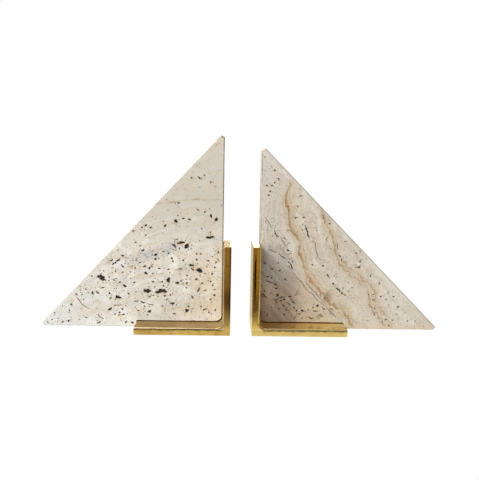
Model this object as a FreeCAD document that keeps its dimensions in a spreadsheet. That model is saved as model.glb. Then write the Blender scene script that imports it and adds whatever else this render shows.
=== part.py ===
"""A pair of book ends: two travertine wedges, each standing in an L-shaped brass bracket.

Millimetres. +Z is up, +X runs along the shelf, and a reader standing in front looks along +Y.
The origin is on the shelf, midway between the two book ends, under the middle of their depth.

Each book end is modelled in its own local frame and placed on its side of the books:
local X runs away from the books (so it is negative on the left one), local Z starts at the
underside of the brass, and local Y = 0 is the middle of the bracket's depth.
"""
import FreeCAD, Part
import os

import Sketcher

# name, value in mm, what it is
DIMENSIONS = [
    ("half_gap", 11.0, "half of the gap between the two brackets at rest"),
    ("leg_length", 98.0, "bracket: length of the leg that lies on the shelf"),
    ("leg_height", 91.0, "bracket: height of the leg that stands against the books"),
    ("brass_thickness", 8.0, "bracket: thickness of both legs"),
    ("bracket_depth", 60.0, "bracket: front to back"),
    ("corner_radius", 7.0, "bracket: fillet between the two legs"),
    ("rim_radius", 2.5, "bracket: rounding along the front and back of the inner faces"),
    ("edge_radius", 0.8, "bracket: rounding of every other edge"),
    ("ledge_depth", 27.0, "from the bracket's front to the slab's front"),
    ("slab_thickness", 28.0, "slab: front to back"),
    ("slab_length", 189.0, "slab: from its upright face to its outer tip"),
    ("left_slab_height", 201.0, "slab: height of the left one, bottom edge to apex"),
    ("right_slab_height", 188.5, "slab: height of the right one, bottom edge to apex"),
    ("slab_clearance", 2.0, "slab: its bottom edge above the underside of the brass"),
    ("notch_gap", 0.5, "slab: clearance between its notch and the end of the leg"),
    ("slab_corner_radius", 7.5, "slab: rounding that clears the bracket's fillet"),
    ("slab_bevel", 1.2, "slab: bevel round both faces"),
    ("apex_run", 3.5, "slab: width of the flat that blunts the apex"),
    ("apex_drop", 2.0, "slab: fall of that flat towards the upright face"),
    ("tip_rise", 3.0, "slab: height of the flat that blunts the outer tip"),
    ("tip_run", 2.4, "slab: run of that flat under the tip"),
    ("bed_thickness", 0.4, "epoxy beds between stone and brass"),
    ("bed_margin", 1.6, "how far each epoxy bed stays back from the slab's edges"),
    ("dowel_radius", 2.5, "dowel pins, and their holes"),
    ("dowel_length", 20.0, "dowel pins: length"),
    ("dowel_sink", 5.0, "dowel pins: how far they stand in the brass"),
    ("inner_dowel_reach", 32.0, "from the book face to the inner dowel pin"),
    ("outer_dowel_reach", 78.0, "from the book face to the outer dowel pin"),
    ("pad_radius", 7.0, "felt pads"),
    ("pad_thickness", 2.0, "felt pads"),
    ("pad_proud", 0.5, "how far the felt pads stand out below the brass"),
    ("pad_inset", 13.0, "from the bracket's edges to the centres of the felt pads"),
]
SIDES = (("left", -1), ("right", 1))


def make_sheet(doc):
    """The driving dimensions, one row each: name, value and note."""
    sheet = doc.addObject("Spreadsheet::Sheet", "Dimensions")
    for row, (alias, value, note) in enumerate(DIMENSIONS, start=1):
        sheet.set("A%d" % row, alias)
        sheet.set("B%d" % row, str(value))
        sheet.setAlias("B%d" % row, alias)
        sheet.set("C%d" % row, note)
    doc.recompute()
    return sheet


def cell(text, sign=1):
    """An expression on the sheet's cells, such as "{leg_length} - {pad_inset}"."""
    names = {alias: "Dimensions." + alias for alias, _value, _note in DIMENSIONS}
    expression = text.format(**names)
    return expression if sign > 0 else "-1 * (%s)" % expression


def bind(feature, prop, text, sign=1):
    feature.setExpression(prop, cell(text, sign))


def new_body(doc, node, sign):
    """A body whose local origin is at the foot of its book end's book face."""
    body = doc.addObject("PartDesign::Body", node)
    body.Label = node
    bind(body, "Placement.Base.x", "{half_gap}", sign)
    bind(body, "Placement.Base.z", "{pad_proud}")
    return body


def new_sketch(body, name, plane_role, offset="0"):
    """A sketch on one of the body's own origin planes, moved along the plane's normal."""
    sketch = body.newObject("Sketcher::SketchObject", name)
    plane = [item for item in body.Origin.OriginFeatures if item.Role == plane_role][0]
    sketch.AttachmentSupport = [(plane, "")]
    sketch.MapMode = "FlatFace"
    bind(sketch, "AttachmentOffset.Base.z", offset)
    return sketch


def pin_point(sketch, geometry, position, across, up, sign):
    """Dimension one sketch point from the sketch's origin."""
    for kind, text, side in (("DistanceX", across, sign), ("DistanceY", up, 1)):
        value = float(sketch.evalExpression(cell(text, side)))
        index = sketch.addConstraint(Sketcher.Constraint(kind, -1, 1, geometry, position, value))
        sketch.setExpression("Constraints[%d]" % index, cell(text, side))


def draw_outline(sketch, points, sign):
    """A closed outline of straight lines. Each point is a pair of cell expressions."""
    corners = [FreeCAD.Vector(float(sketch.evalExpression(cell(across, sign))),
                              float(sketch.evalExpression(cell(up))), 0) for across, up in points]
    count = len(corners)
    for index in range(count):
        sketch.addGeometry(Part.LineSegment(corners[index], corners[(index + 1) % count]), False)
    for index in range(count):
        sketch.addConstraint(Sketcher.Constraint("Coincident", index, 2, (index + 1) % count, 1))
    for index, (across, up) in enumerate(points):
        pin_point(sketch, index, 1, across, up, sign)


def draw_circles(sketch, centres, radius, sign):
    """One circle for each centre, all with the same radius cell."""
    for across, up in centres:
        centre = FreeCAD.Vector(float(sketch.evalExpression(cell(across, sign))),
                                float(sketch.evalExpression(cell(up))), 0)
        size = float(sketch.evalExpression(cell(radius)))
        circle = sketch.addGeometry(Part.Circle(centre, FreeCAD.Vector(0, 0, 1), size), False)
        pin_point(sketch, circle, 3, across, up, sign)
        index = sketch.addConstraint(Sketcher.Constraint("Radius", circle, size))
        sketch.setExpression("Constraints[%d]" % index, cell(radius))


def extrude(body, name, sketch, length, side_type="One side"):
    pad = body.newObject("PartDesign::Pad", name)
    pad.Profile = sketch
    pad.SideType = side_type
    bind(pad, "Length", length)
    body.Document.recompute()
    return pad


def drill(body, name, sketch, depth, upwards):
    """A pocket down from its sketch, or up from it; it has to remove material."""
    before = body.Shape.Volume
    pocket = body.newObject("PartDesign::Pocket", name)
    pocket.Profile = sketch
    pocket.Reversed = upwards
    bind(pocket, "Length", depth)
    body.Document.recompute()
    if body.Shape.Volume > before - 1.0:
        raise RuntimeError("%s cuts nothing out of %s" % (name, body.Label))
    return pocket


def round_edges(body, name, kind, size_prop, size, chosen):
    """Fillet or chamfer the edges of the body's tip for which chosen(edge) is true."""
    base = body.Tip
    edges = ["Edge%d" % number for number, edge in enumerate(base.Shape.Edges, start=1) if chosen(edge)]
    if not edges:
        raise RuntimeError("%s finds no edges on %s" % (name, body.Label))
    feature = body.newObject(kind, name)
    feature.Base = (base, edges)
    bind(feature, size_prop, size)
    body.Document.recompute()
    return feature


def on_planes(edge, coordinate, values):
    """True if the whole edge lies where the coordinate equals one of the values."""
    box = edge.BoundBox
    low, high = {"x": (box.XMin, box.XMax), "y": (box.YMin, box.YMax),
                 "z": (box.ZMin, box.ZMax)}[coordinate]
    return any(abs(low - value) < 0.01 and abs(high - value) < 0.01 for value in values)


def make_bracket(doc, sheet, side, sign):
    """L-shaped brass bracket with rounded rims, dowel holes and recesses for the pads."""
    body = new_body(doc, side + "_brass_bracket", sign)
    outline = new_sketch(body, side + "_bracket_outline", "XZ_Plane")
    draw_outline(outline, [("0", "0"), ("{leg_length}", "0"), ("{leg_length}", "{brass_thickness}"),
                           ("{brass_thickness}", "{brass_thickness}"),
                           ("{brass_thickness}", "{leg_height}"), ("0", "{leg_height}")], sign)
    extrude(body, side + "_bracket_legs", outline, "{bracket_depth}", "Symmetric")

    thickness = sheet.brass_thickness
    half_depth = sheet.bracket_depth / 2.0
    inner_x = sign * thickness

    def is_inner_corner(edge):
        return on_planes(edge, "x", [inner_x]) and on_planes(edge, "z", [thickness])

    def is_inner_rim(edge):
        if not on_planes(edge, "y", [-half_depth, half_depth]):
            return False
        middle = edge.valueAt((edge.FirstParameter + edge.LastParameter) / 2.0)
        inside = abs(middle.x) > thickness - 0.01 and middle.z > thickness - 0.01
        return inside and not on_planes(edge, "x", [sign * sheet.leg_length])

    def is_plain_edge(edge):
        """Edges of the original block: those along the outer faces and the ends of the legs."""
        box = edge.BoundBox
        longest = max(box.XLength, box.YLength, box.ZLength)
        outer = (on_planes(edge, "x", [0.0, sign * sheet.leg_length])
                 or on_planes(edge, "z", [0.0, sheet.leg_height]))
        return outer and longest > sheet.rim_radius * 1.5

    fillet, radius = "PartDesign::Fillet", "Radius"
    round_edges(body, side + "_bracket_corner", fillet, radius, "{corner_radius}", is_inner_corner)
    round_edges(body, side + "_bracket_rims", fillet, radius, "{rim_radius}", is_inner_rim)
    round_edges(body, side + "_bracket_edges", fillet, radius, "{edge_radius}", is_plain_edge)

    holes = new_sketch(body, side + "_dowel_hole_circles", "XY_Plane", "{brass_thickness}")
    slab_middle = "{ledge_depth} + {slab_thickness} / 2 - {bracket_depth} / 2"
    draw_circles(holes, [("{inner_dowel_reach}", slab_middle), ("{outer_dowel_reach}", slab_middle)],
                 "{dowel_radius}", sign)
    drill(body, side + "_dowel_holes", holes, "{dowel_sink}", upwards=False)

    recesses = new_sketch(body, side + "_pad_recess_circles", "XY_Plane")
    draw_circles(recesses, pad_centres(), "{pad_radius}", sign)
    drill(body, side + "_pad_recesses", recesses, "{pad_thickness} - {pad_proud}", upwards=True)
    return body


def pad_centres():
    """The four pad centres, in the local frame: inner or outer, front or back."""
    reaches = ("{pad_inset}", "{leg_length} - {pad_inset}")
    depths = ("{pad_inset} - {bracket_depth} / 2", "{bracket_depth} / 2 - {pad_inset}")
    return [(reach, depth) for reach in reaches for depth in depths]


def make_slab(doc, sheet, side, sign):
    """Travertine wedge, notched over the bracket's lower leg, with two blind dowel holes."""
    body = new_body(doc, side + "_travertine_slab", sign)
    back = "{ledge_depth} + {slab_thickness} - {bracket_depth} / 2"
    outline = new_sketch(body, side + "_slab_outline", "XZ_Plane", "-1 * (%s)" % back)
    face = "{brass_thickness} + {bed_thickness}"
    notch_end = "{leg_length} + {notch_gap}"
    apex = "{slab_clearance} + {%s_slab_height}" % side
    tip = face + " + {slab_length}"
    draw_outline(outline, [(face, face), (notch_end, face), (notch_end, "{slab_clearance}"),
                           (tip + " - {tip_run}", "{slab_clearance}"),
                           (tip, "{slab_clearance} + {tip_rise}"),
                           (face + " + {apex_run}", apex), (face, apex + " - {apex_drop}")], sign)
    extrude(body, side + "_slab_block", outline, "{slab_thickness}")

    face_x = sheet.brass_thickness + sheet.bed_thickness
    front_y = sheet.ledge_depth - sheet.bracket_depth / 2.0
    faces_y = [front_y, front_y + sheet.slab_thickness]
    round_edges(body, side + "_slab_corner", "PartDesign::Fillet", "Radius", "{slab_corner_radius}",
                lambda edge: on_planes(edge, "x", [sign * face_x]) and on_planes(edge, "z", [face_x]))
    round_edges(body, side + "_slab_bevels", "PartDesign::Chamfer", "Size", "{slab_bevel}",
                lambda edge: on_planes(edge, "y", faces_y))

    holes = new_sketch(body, side + "_slab_hole_circles", "XY_Plane", face)
    slab_middle = "{ledge_depth} + {slab_thickness} / 2 - {bracket_depth} / 2"
    draw_circles(holes, [("{inner_dowel_reach}", slab_middle), ("{outer_dowel_reach}", slab_middle)],
                 "{dowel_radius}", sign)
    depth = "{dowel_length} - {dowel_sink} - {bed_thickness}"
    drill(body, side + "_slab_dowel_holes", holes, depth, upwards=True)
    return body


def make_cylinder(doc, node, sign, radius, height, centre):
    """A round piece standing on Z; centre is three cell expressions in the local frame."""
    cylinder = doc.addObject("Part::Cylinder", node)
    cylinder.Label = node
    bind(cylinder, "Radius", radius)
    bind(cylinder, "Height", height)
    bind(cylinder, "Placement.Base.x", "{half_gap} + " + centre[0], sign)
    bind(cylinder, "Placement.Base.y", centre[1])
    bind(cylinder, "Placement.Base.z", "{pad_proud} + " + centre[2])
    return cylinder


def make_dowel(doc, side, sign, place):
    """A steel pin, half in the lower leg and half in the slab."""
    middle = "{ledge_depth} + {slab_thickness} / 2 - {bracket_depth} / 2"
    centre = ("{%s_dowel_reach}" % place, middle, "{brass_thickness} - {dowel_sink}")
    return make_cylinder(doc, "%s_%s_dowel_pin" % (side, place), sign, "{dowel_radius}",
                         "{dowel_length}", centre)


def make_pads(doc, side, sign):
    """Four felt discs, let into the underside of the lower leg."""
    names = ("inner_front", "inner_back", "outer_front", "outer_back")
    return [make_cylinder(doc, "%s_%s_felt_pad" % (side, name), sign, "{pad_radius}",
                          "{pad_thickness}", (reach, depth, "-{pad_proud}"))
            for name, (reach, depth) in zip(names, pad_centres())]


def make_bed(doc, node, sign, start, size):
    """A thin epoxy bed; start is its corner nearest the books, low and in front."""
    bed = doc.addObject("Part::Box", node)
    bed.Label = node
    for prop, text in zip(("Length", "Width", "Height"), size):
        bind(bed, prop, text)
    near = "{half_gap} + " + start[0]
    bind(bed, "Placement.Base.x", near if sign > 0 else near + " + " + size[0], sign)
    bind(bed, "Placement.Base.y", start[1])
    bind(bed, "Placement.Base.z", "{pad_proud} + " + start[2])
    return bed


def make_beds(doc, side, sign):
    """Epoxy beds: one on the lower leg and one on the upright leg."""
    front = "{ledge_depth} - {bracket_depth} / 2 + {bed_margin}"
    width = "{slab_thickness} - 2 * {bed_margin}"
    clear = "{brass_thickness} + {slab_corner_radius} + {bed_margin}"
    seat = make_bed(doc, side + "_seat_epoxy_bed", sign, (clear, front, "{brass_thickness}"),
                    ("{leg_length} - {edge_radius} - (%s)" % clear, width, "{bed_thickness}"))
    back = make_bed(doc, side + "_back_epoxy_bed", sign, ("{brass_thickness}", front, clear),
                    ("{bed_thickness}", width, "{leg_height} - {edge_radius} - (%s)" % clear))
    return [seat, back]


def cut_bed_holes(doc, bed, side, dowels):
    """The dowel pins pass through the seat bed, so the bed is cut round them."""
    pins = doc.addObject("Part::MultiFuse", side + "_bed_pins")
    pins.Shapes = dowels
    cut = doc.addObject("Part::Cut", side + "_seat_bed_with_holes")
    cut.Base = bed
    cut.Tool = pins
    node = bed.Label
    bed.Label = node + "_blank"
    cut.Label = node
    return cut


def make_book_end(doc, sheet, side, sign):
    """Every piece of one book end."""
    dowels = [make_dowel(doc, side, sign, place) for place in ("inner", "outer")]
    seat_bed, back_bed = make_beds(doc, side, sign)
    doc.recompute()
    return [make_bracket(doc, sheet, side, sign), make_slab(doc, sheet, side, sign),
            cut_bed_holes(doc, seat_bed, side, dowels), back_bed,
            *dowels, *make_pads(doc, side, sign)]


def check(doc, parts):
    """Stop if anything in the document failed, or a sub-part is not one sound solid."""
    for item in doc.Objects:
        if "Invalid" in item.State or "Error" in item.State:
            raise RuntimeError("%s did not compute: %s" % (item.Label, item.State))
    for item in parts:
        shape = item.Shape
        if shape.isNull() or not shape.isValid() or len(shape.Solids) != 1:
            raise RuntimeError("%s is not one valid solid" % item.Label)


def export(parts):
    os.makedirs("parts", exist_ok=True)
    for item in parts:
        item.Shape.exportStep("parts/%s.step" % item.Label)
        print("%-28s %10.1f mm3" % (item.Label, item.Shape.Volume))


def main():
    doc = FreeCAD.newDocument("book_ends")
    sheet = make_sheet(doc)
    parts = []
    for side, sign in SIDES:
        parts += make_book_end(doc, sheet, side, sign)
    doc.recompute()
    check(doc, parts)
    export(parts)


main()
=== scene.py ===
"""A pair of travertine book ends in brass brackets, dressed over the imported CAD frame."""

import math
import random

import bpy
from mathutils import Matrix, Vector, noise
from mathutils.geometry import delaunay_2d_cdt, intersect_line_line_2d


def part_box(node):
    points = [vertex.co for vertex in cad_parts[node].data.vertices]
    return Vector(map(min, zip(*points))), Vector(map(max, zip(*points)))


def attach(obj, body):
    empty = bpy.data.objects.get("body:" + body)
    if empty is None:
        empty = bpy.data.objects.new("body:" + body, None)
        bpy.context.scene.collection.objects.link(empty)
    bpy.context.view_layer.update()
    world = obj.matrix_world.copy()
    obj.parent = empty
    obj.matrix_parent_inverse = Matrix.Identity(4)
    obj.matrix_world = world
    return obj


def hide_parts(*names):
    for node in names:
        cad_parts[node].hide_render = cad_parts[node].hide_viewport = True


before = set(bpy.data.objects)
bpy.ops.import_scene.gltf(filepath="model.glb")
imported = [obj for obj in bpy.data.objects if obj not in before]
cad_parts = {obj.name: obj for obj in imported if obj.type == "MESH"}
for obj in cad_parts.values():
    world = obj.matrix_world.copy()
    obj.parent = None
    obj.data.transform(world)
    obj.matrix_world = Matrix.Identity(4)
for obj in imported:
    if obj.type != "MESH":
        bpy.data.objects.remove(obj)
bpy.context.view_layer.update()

MM = 0.001
SIDES = ("left", "right")

# The stones' drawn features are in mm: s outward from the upright face, h up from the bottom edge.
# A pore is (s, h, length, width, tilt in degrees).
LEFT_PORES = [
    (50.5, 84.5, 6, 1.8, 38), (43.5, 87.5, 7.5, 2.4, -8), (37.5, 84, 6, 3.3, -38), (13.5, 93.5, 7, 2.8, -10),
    (126, 49.5, 7.5, 5, 15), (149, 41, 4, 1.3, 10), (145, 38, 4.5, 1.3, 0), (135.5, 33, 4, 1.5, 85),
    (130.5, 33.5, 4, 1.5, 35), (125, 39, 4, 1.2, -10), (146.5, 31, 1.6, 1.3, 0), (145, 26, 1.6, 1.2, 20),
    (136, 51, 1.8, 1.2, 0), (140, 52, 1.6, 1.2, 40), (129, 62, 2, 1.2, 0), (113, 47, 2, 1.4, 30),
    (107, 45, 2, 1.6, 0), (102, 41, 2.9, 2.6, 0), (109, 29, 5, 3.6, 20), (80, 55, 3, 2.6, 0),
    (91, 60, 2, 1.5, 0), (96, 56, 1.8, 1.3, 30), (83, 79, 2.6, 2, 0), (80, 105, 3, 1.8, -30),
    (75, 103, 2.4, 1.5, 0), (84, 103, 2, 1.6, 45), (93, 99, 2.4, 1.6, 0), (80, 95, 2, 1.4, 0),
    (41, 69, 2.2, 1.6, 0), (53, 71, 2.4, 1.4, 20), (27, 76, 2, 1.5, 0), (23, 76, 1.8, 1.4, 0),
    (27, 70, 2.2, 1.5, 60), (4.5, 78, 2.6, 1.6, 30), (32.5, 64, 5, 2.2, 8), (31, 59.5, 4, 1.5, 40),
    (24, 58.5, 7.5, 3.4, 35), (10.5, 55, 2.2, 1.6, 0), (56.5, 48, 6, 3, -76), (63, 46, 2.4, 1.6, 0),
    (47, 45, 4.5, 2, 10), (43, 47, 2, 1.4, 0), (37, 45, 2.2, 1.6, 0), (37, 53, 2, 1.5, 30),
    (21, 45, 2.2, 1.6, 0), (10, 43, 2, 1.5, 0), (24.5, 38, 5, 1.6, -50), (78.5, 36, 7.5, 3.5, -10),
    (64, 36, 9.5, 4.5, -5), (60, 31, 2.4, 1.6, 0), (76, 30, 2, 1.5, 0), (52, 23, 5, 2, 10),
    (31, 30, 3.5, 1.5, 60), (22, 20, 2, 1.6, 0), (13.5, 14, 1.8, 1.4, 0), (12, 28, 2, 1.5, 0),
    (112, 11, 2, 1.4, 0), (142, 6.5, 1.8, 1.2, 0), (46, 129, 2.4, 1.4, 0), (49, 110, 3.5, 3, 70),
    (41, 113, 2.4, 1.6, 0), (35, 112, 3, 1.8, 20), (60, 105, 2.6, 2.4, 0), (12.5, 116, 4, 1.8, 85),
    (7, 112.5, 4, 2.6, 70), (19, 120, 2, 1.4, 0), (26, 122, 2, 1.3, 0), (25, 155, 4, 1.2, 40),
    (33, 155, 2, 1.2, 0), (20, 158, 1.8, 1.2, 0), (13, 151, 2, 1.3, 0), (70, 70, 3, 1.8, -20),
    (118, 33, 2.4, 1.5, 0), (92, 45, 2.6, 1.4, -20), (86, 66, 2, 1.3, 0), (15, 69, 2.4, 1.6, 0),
    (98, 33, 2.2, 1.5, 30), (44, 60, 3, 1.6, -15), (66, 60, 2.2, 1.4, 0), (88, 15, 2.2, 1.4, 10),
    (50, 12, 2.2, 1.5, 0), (35, 20, 2.4, 1.6, -20), (160, 14, 1.8, 1.2, 0), (8, 62, 2.2, 1.4, 0),
    (8.5, 190, 2.2, 1.3, 10), (152.5, 31.5, 3, 1.2, 30), (104, 73, 2.6, 2, 0), (178, 9, 2.4, 1.4, 10),
]
LEFT_CRACKS = [  # (width, path)
    (2.2, [(115.5, 63), (112, 66), (109, 68), (106, 70)]),
    (0.9, [(153, 29), (149, 24), (146, 20), (142, 18), (138, 15.5)]),
    (0.9, [(131, 11), (127, 7), (124, 5)]),
    (1.0, [(115, 18), (112, 20), (109, 20.5), (104, 21)]),
    (1.1, [(93, 24.5), (90, 25), (87, 25)]),
    (1.7, [(86, 24.5), (83, 24), (80, 23)]),
    (1.0, [(79, 22.5), (77, 22), (71, 20.5)]),
    (1.2, [(149, 41), (147, 40), (145, 38.5)]),
    (1.2, [(144, 38), (142.5, 37), (141, 36)]),
    (0.9, [(6.5, 72), (4.5, 70), (3, 67.5)]),
    (0.9, [(20, 56.5), (18, 55), (16, 55)]),
]
RIGHT_PORES = [
    (47, 109, 3, 1.6, -60), (49, 104, 2.6, 1.5, -60), (50.5, 98, 3, 1.6, -60), (53, 93, 2.6, 1.5, -50),
    (62, 75.5, 2.4, 1.5, -50), (66, 70.5, 2.4, 1.5, -50), (71.5, 58, 4, 3, -60), (75, 52.5, 2.4, 1.6, -50),
    (79, 47, 2.6, 1.6, -50), (81.5, 43, 2.2, 1.5, -50), (84.5, 40.5, 2, 1.4, -50), (88.5, 37, 3.3, 3, 0),
    (5.5, 115, 2.2, 1.5, 0), (9.5, 111, 2.6, 1.6, -50), (12, 106, 2.6, 1.6, -60), (16, 102, 4.2, 2, -70),
    (17, 97.5, 2, 1.4, 0), (20, 95, 2.7, 2.4, 0), (24, 92, 2.4, 1.5, -50), (26.5, 88, 2.4, 1.5, -50),
    (30, 82, 2.6, 1.6, -50), (10.5, 83, 2.6, 1.8, 0), (15, 80, 2.4, 1.6, -20), (20, 79, 2.2, 1.5, 0),
    (24.5, 75, 2.6, 1.6, -40), (28.5, 72, 2.8, 1.8, -40), (34, 66, 5, 2, -70), (9, 49, 3.4, 2, -20),
    (18, 45.5, 3, 2, 0), (19, 41, 2.4, 1.8, 0), (33.5, 32.5, 3, 2, 0), (27.5, 29.5, 2.4, 1.8, 0),
    (24, 28, 2.2, 1.6, 0), (37.5, 26, 3.6, 3, 0), (47, 17.5, 3, 2, -30), (41, 17.5, 2.2, 1.6, 0),
    (6.5, 149, 2, 1.5, 0), (11.5, 149, 2, 1.5, 0), (14.5, 152, 1.8, 1.3, 0), (10, 143, 2, 1.4, 0),
    (8.5, 139, 1.8, 1.3, 0), (18.5, 156, 2, 1.4, 0), (37, 116, 2, 1.4, 0), (45.5, 116.5, 2, 1.4, 0),
    (39, 128, 1.8, 1.3, 0), (42, 139, 1.8, 1.3, 0), (66, 116, 1.8, 1.3, 0), (73, 110.5, 1.8, 1.3, 0),
    (105.5, 65, 2.7, 2.4, 0), (106.5, 71, 2, 1.5, 0), (118, 56, 1.8, 1.4, 0), (102, 80, 1.8, 1.3, 0),
    (82, 86.5, 2.2, 1.5, -60), (82.5, 82, 2, 1.4, -60), (85, 76.5, 2.4, 1.5, -60), (87, 72.5, 2, 1.4, -60),
    (128, 48, 2, 1.4, 0), (130, 34, 2, 1.4, 0), (136, 31, 1.8, 1.3, 0), (149, 23, 2, 1.4, 0),
    (143.5, 34, 1.8, 1.3, 0), (122, 36, 1.8, 1.3, 0), (122, 30, 1.8, 1.3, 0), (136.5, 9, 2, 1.4, 0),
    (143.5, 8.5, 1.8, 1.3, 0), (63, 23, 2.6, 2.2, 0), (70, 19.5, 2.2, 1.5, -40), (77, 15, 2.2, 1.5, -40),
    (82.5, 10.5, 2.4, 1.6, -40), (67.5, 66, 1.8, 1.6, 0), (28, 51, 2, 1.6, 0), (14, 62, 2.2, 1.6, 0),
    (22, 60, 2, 1.5, -40), (6, 68, 2.2, 1.6, 0), (44, 14, 2.2, 1.4, -40), (9.5, 53.5, 2, 1.4, 0),
    (13.5, 52.5, 2, 1.3, 30), (19, 26.5, 2.4, 1.2, 60), (38, 20.5, 2.6, 1.3, -60), (60, 8, 1.8, 1.2, -40),
    (30, 18, 2, 1.2, 50), (22, 19, 1.8, 1.2, 0), (27, 23, 2.2, 1.2, -50), (14, 21, 1.8, 1.2, 20),
]
RIGHT_CRACKS = [  # most of them link the chains of pores above
    (1.6, [(47, 109), (49, 104), (50.5, 98), (52.5, 94)]),
    (0.6, [(54, 93), (58.5, 90), (59, 86), (59.5, 82.5), (62, 75.5), (66, 70.5)]),
    (0.6, [(5.5, 115), (9.5, 111), (12, 106), (14, 104)]),
    (1.7, [(15.5, 103), (17, 98), (20, 95)]),
    (0.6, [(21.5, 93.5), (24, 92), (26.5, 88), (28.5, 84)]),
    (0.8, [(9, 83.5), (15, 80), (19, 79.5)]),
    (1.3, [(20.5, 78.5), (24.5, 75), (28.5, 72)]),
    (1.4, [(30, 70.5), (34, 66), (36, 60.5)]),
    (0.6, [(36.5, 59), (38, 56), (41, 52), (45.5, 48.5), (50, 41), (54, 37.5), (58, 35), (62, 30),
           (70, 23)]),
    (0.6, [(49.5, 52), (51, 47), (54, 43), (58, 39.5), (62, 35), (66, 30)]),
    (0.7, [(72, 21), (77, 17), (84, 10)]),
    (1.4, [(71.5, 58), (73.5, 55), (75, 52.5)]),
    (1.7, [(81.5, 43), (84.5, 40.5), (87, 38)]),
    (1.2, [(90, 36), (91.5, 35), (93, 34.5)]),
    (1.6, [(4, 36), (6.5, 33), (9.5, 30)]),
    (1.0, [(7, 50), (9, 49), (13, 47.5), (16, 46)]),
    (0.9, [(15, 31), (18, 28), (21, 30), (24, 32), (30, 32)]),
    (1.3, [(34, 31), (35.5, 28.5), (37.5, 26), (40, 25)]),
    (1.0, [(30, 27), (32.5, 25), (35, 22.5)]),
    (0.8, [(37, 7.5), (39, 9.5), (41, 11.5)]),
    (1.4, [(53, 11), (56, 9.5), (59, 8.5)]),
    (0.8, [(46, 8), (47, 9.5), (48, 11)]),
    (0.7, [(88, 91), (90, 92), (92, 92.5)]),
    (0.6, [(81.5, 91), (82, 86.5), (82.5, 82)]),
]
DRAWN_SHIFT = {"left": (0.5, 2.0), "right": (-1.0, 1.5)}  # moves a stone's whole lists
VEINS = [  # of the right stone: (half width in mm, strength, path in mm)
    (2.3, 1.0, [(29, 159), (29, 146), (28, 137), (30, 127), (31.5, 110), (40, 95), (42, 83), (46, 70),
                (51, 59), (57, 51), (68, 39.5), (77, 28), (93, 17), (98, 7)]),
    (1.7, 0.6, [(60, 130), (66, 120), (70, 111), (79, 92), (80, 81), (91, 66), (105, 53), (117, 42),
                (118, 33), (127, 15), (135, 4)]),
    (1.4, 0.55, [(86, 79), (95, 70), (109, 56), (123, 44), (126, 33), (133, 18), (142, 4)]),
]
# Across a vein, from its lower side to its upper one: (place from 0 to 1, strength).
VEIN_TINT = [(0.0, 0.0), (0.2, 0.1), (0.3, 0.4), (0.36, 0.25), (0.43, 0.9), (0.56, 1.0), (0.62, 0.55),
             (0.72, 0.55), (0.78, 0.15), (1.0, 0.0)]
VEIN_CORE = [(0.0, 0.0), (0.27, 0.0), (0.3, 0.35), (0.33, 0.0), (0.41, 0.1), (0.45, 1.0), (0.52, 0.55),
             (0.58, 0.1), (0.66, 0.0), (0.7, 0.5), (0.73, 0.0), (1.0, 0.0)]
# The edge of the right stone's darker corner: its own pinkish-brown and grey tint, with painted shadow of
# the bracket's upright over it.
CORNER_TINT_AND_SHADOW = [(0, 92), (10, 90), (24, 88), (34, 78), (42, 62), (52, 43), (60, 29), (70, 13), (77, 4)]
# Random pores tried on each face, and the height up to which the larger ones are spread.
LARGE_TRIES, DASH_TRIES, FINE_TRIES, LARGE_TOP = 500, 900, 9000, 92


def srgb(red, green, blue):
    """Linear colour, with alpha, of an 8-bit display colour."""
    def linear(value):
        value /= 255
        return value / 12.92 if value <= 0.04045 else ((value + 0.055) / 1.055) ** 2.4
    return (linear(red), linear(green), linear(blue), 1.0)


# ---------------------------------------------------------------- the stones' shape

class Slab:
    """One wedge: its outline, and the way from (s, y, h) in mm to the row frame in metres."""

    TIP_RUN, TIP_RISE, APEX_RUN, APEX_DROP = 2.4, 3.0, 3.5, 2.0
    CORNER, NOTCH_GAP = 7.5, 0.5

    def __init__(self, side):
        low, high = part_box(side + "_travertine_slab")
        bracket_low, bracket_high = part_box(side + "_brass_bracket")
        self.sign = -1 if side == "left" else 1
        near, far = sorted((abs(low.x), abs(high.x)))
        self.face, self.base, self.front = near, low.z, low.y
        self.length = (far - near) / MM
        self.height = (high.z - low.z) / MM
        self.thickness = (high.y - low.y) / MM
        self.leg_end = (max(abs(bracket_low.x), abs(bracket_high.x)) - near) / MM + self.NOTCH_GAP
        self.notch = (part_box(side + "_seat_epoxy_bed")[1].z - low.z) / MM
        self.sides = self.outline_sides()

    def outline_sides(self):
        """The outline, anticlockwise in (s, h), as a polyline per side."""
        length, height, notch, r = self.length, self.height, self.notch, self.CORNER
        arc = [(r - r * math.cos(a), notch + r - r * math.sin(a)) for a in
               (math.pi / 2 * k / 8 for k in range(9))]
        corners = [(self.leg_end, 0), (length - self.TIP_RUN, 0), (length, self.TIP_RISE),
                   (self.APEX_RUN, height), (0, height - self.APEX_DROP), arc[0]]
        sides = [[corners[i], corners[i + 1]] for i in range(5)]
        sides += [arc, [arc[-1], (self.leg_end, notch)], [(self.leg_end, notch), corners[0]]]
        return [[Vector(p) for p in side] for side in sides]

    def place(self, s, y, h):
        return Vector((self.sign * (self.face + s * MM), self.front + y * MM, self.base + h * MM))


def resample(line, step):
    """The polyline's points with extra ones between, none further apart than step; the last is left out."""
    points = []
    for a, b in zip(line, line[1:]):
        count = max(1, math.ceil((b - a).length / step))
        points += [a.lerp(b, k / count) for k in range(count)]
    return points


def left_of(direction):
    return Vector((-direction.y, direction.x)).normalized()


def crosses_itself(rim):
    """Whether any two edges of the closed outline cross."""
    edges = list(zip(rim, rim[1:] + rim[:1]))
    return any(intersect_line_line_2d(*edges[i], *edges[j])
               for i in range(len(edges)) for j in range(i + 2, len(edges)) if (i, j) != (0, len(edges) - 1))


def wobble(*place):
    """Smooth seeded noise, about -1 to 1."""
    return noise.noise(Vector(place))


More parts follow.
